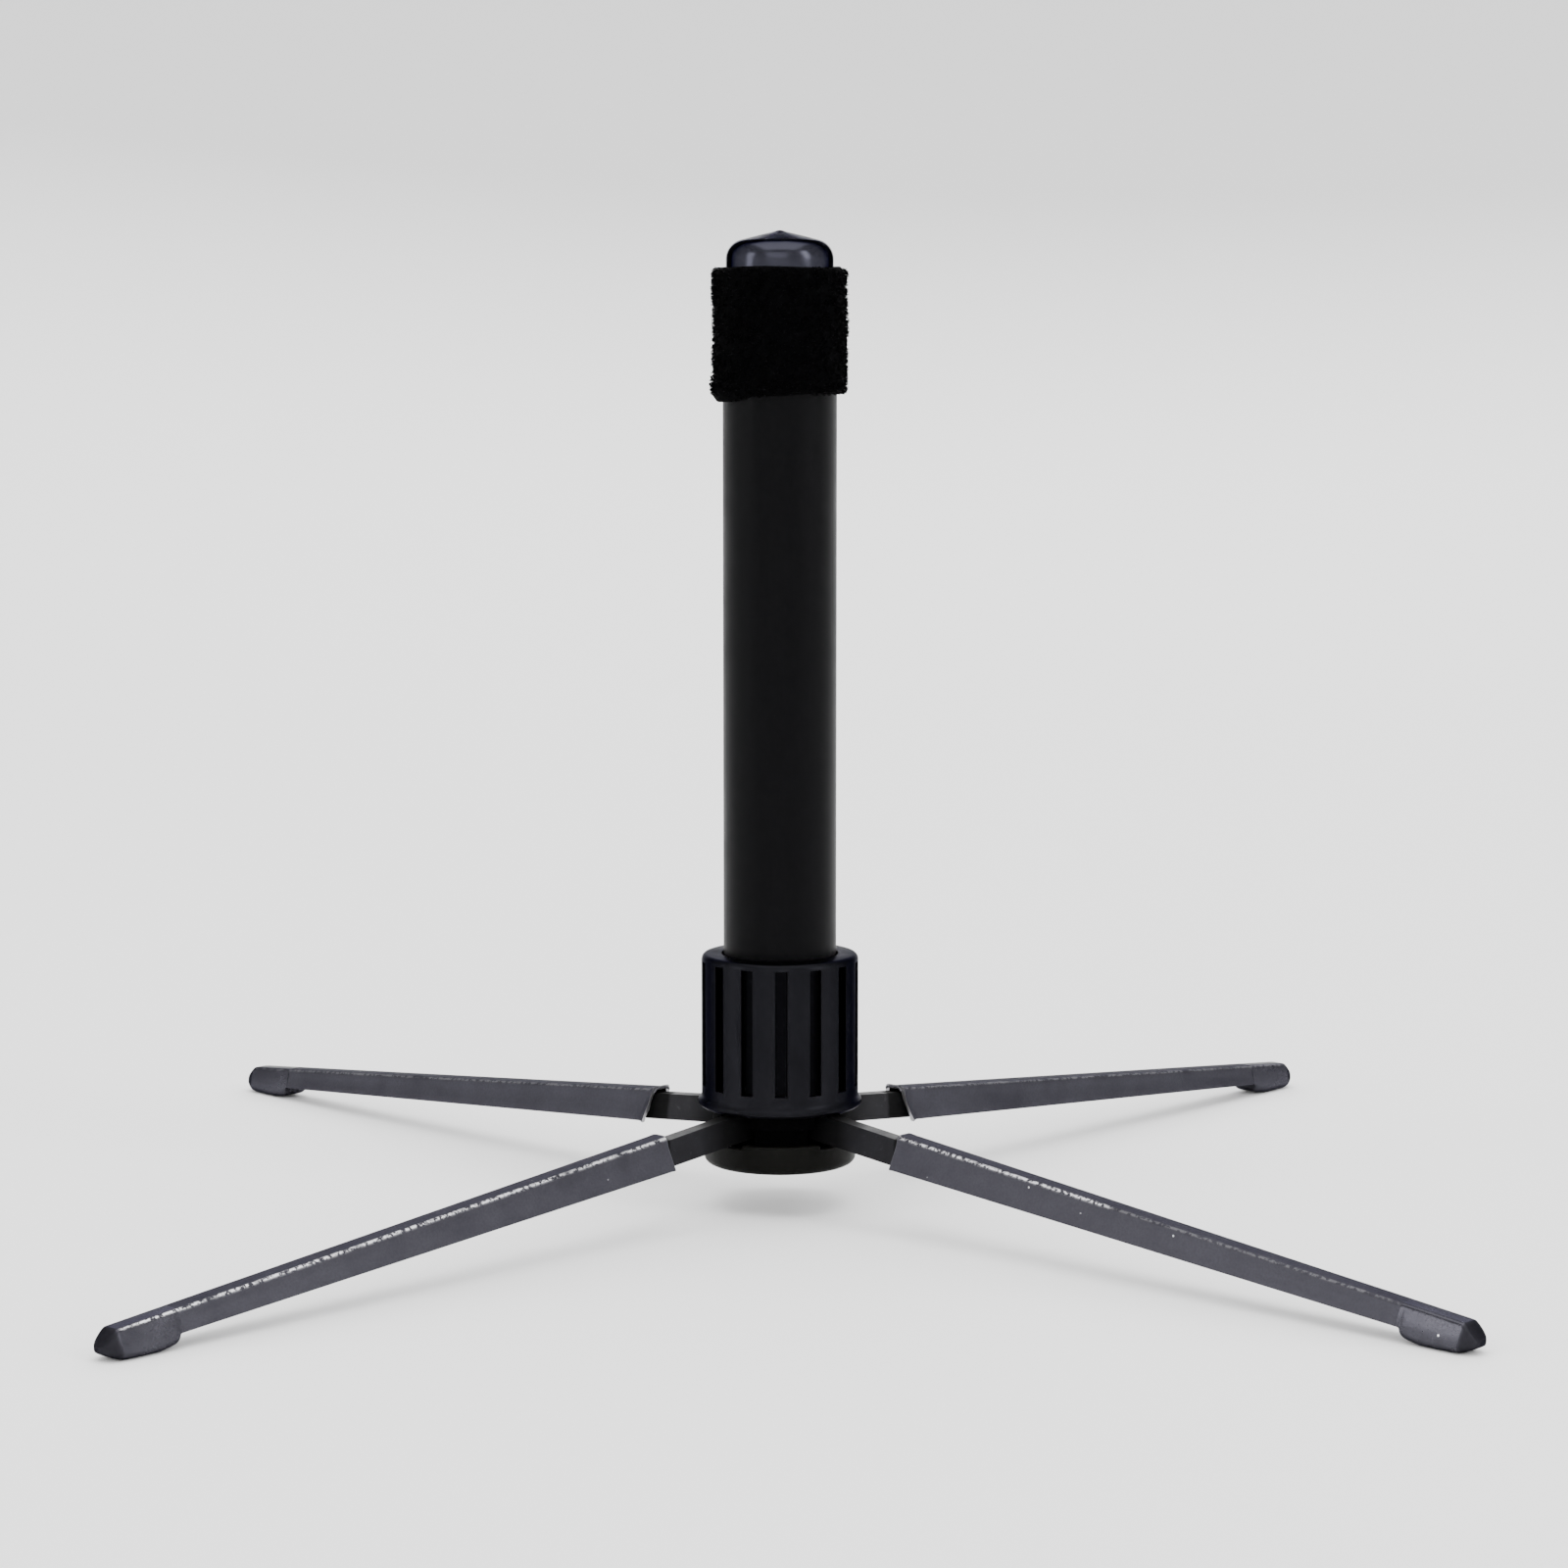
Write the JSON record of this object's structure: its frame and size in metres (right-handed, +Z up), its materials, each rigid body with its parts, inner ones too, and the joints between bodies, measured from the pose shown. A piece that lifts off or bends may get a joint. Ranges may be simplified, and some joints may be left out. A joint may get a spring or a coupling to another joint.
{
  "type": "flute stand",
  "caption": "Folding peg stand for a flute: a tube with a domed cap and a pile band, a fluted screw collar, a slotted hub and sheet-metal legs that fold up into the tube.",
  "frame": {"origin": "on the floor under the middle of the stand", "axes": "+Z up along the post, -Y the front, legs on the diagonals"},
  "size_m": [0.176, 0.176, 0.1423],
  "materials": {
    "tube": "satin black",
    "cap": "gloss black",
    "pile": "black pile",
    "collar": "satin black, moulded",
    "crown": "black, moulded",
    "cup": "olive black, moulded",
    "leg_root": "dark grey satin paint",
    "leg_channel": "gunmetal paint with bright worn edges",
    "foot": "dark grey, softly shiny",
    "fastener": "plain steel"
  },
  "bodies": {
    "base": {"hub_crown": "crown", "base_cup": "cup", "centre_screw": "fastener", "leg_pin_front_left": "fastener", "leg_pin_front_right": "fastener", "leg_pin_back_right": "fastener", "leg_pin_back_left": "fastener"},
    "post": {"post_tube": "tube", "end_cap": "cap", "pile_band": "pile"},
    "collar": {"clamp_collar": "collar"},
    "leg_front_left": {"leg_root_front_left": "leg_root", "leg_channel_front_left": "leg_channel", "leg_foot_front_left": "foot"},
    "leg_front_right": {"leg_root_front_right": "leg_root", "leg_channel_front_right": "leg_channel", "leg_foot_front_right": "foot"},
    "leg_back_right": {"leg_root_back_right": "leg_root", "leg_channel_back_right": "leg_channel", "leg_foot_back_right": "foot"},
    "leg_back_left": {"leg_root_back_left": "leg_root", "leg_channel_back_left": "leg_channel", "leg_foot_back_left": "foot"}
  },
  "joints": [
    {"name": "post_lift", "type": "slide", "parent": "base", "child": "post", "axis": [0, 0, 1], "range_m": [0, 0.135]},
    {"name": "collar_turn", "type": "hinge", "parent": "post", "child": "collar", "pos_m": [0, 0, 0.0257], "axis": [0, 0, 1], "continuous": true},
    {"name": "fold_front_left", "type": "hinge", "parent": "base", "child": "leg_front_left", "pos_m": [-0.00286, -0.00286, 0.0136], "axis": [-0.7071, 0.7071, 0], "range_deg": [0, 95.8]},
    {"name": "fold_front_right", "type": "hinge", "parent": "base", "child": "leg_front_right", "pos_m": [0.00286, -0.00286, 0.0136], "axis": [-0.7071, -0.7071, 0], "range_deg": [0, 95.8]},
    {"name": "fold_back_right", "type": "hinge", "parent": "base", "child": "leg_back_right", "pos_m": [0.00286, 0.00286, 0.0136], "axis": [0.7071, -0.7071, 0], "range_deg": [0, 95.8]},
    {"name": "fold_back_left", "type": "hinge", "parent": "base", "child": "leg_back_left", "pos_m": [-0.00286, 0.00286, 0.0136], "axis": [0.7071, 0.7071, 0], "range_deg": [0, 95.8]}
  ],
  "couplings": [
    {"joint": "fold_front_left", "follows": "post_lift", "rad_per_m": 12.38},
    {"joint": "fold_front_right", "follows": "post_lift", "rad_per_m": 12.38},
    {"joint": "fold_back_right", "follows": "post_lift", "rad_per_m": 12.38},
    {"joint": "fold_back_left", "follows": "post_lift", "rad_per_m": 12.38}
  ]
}
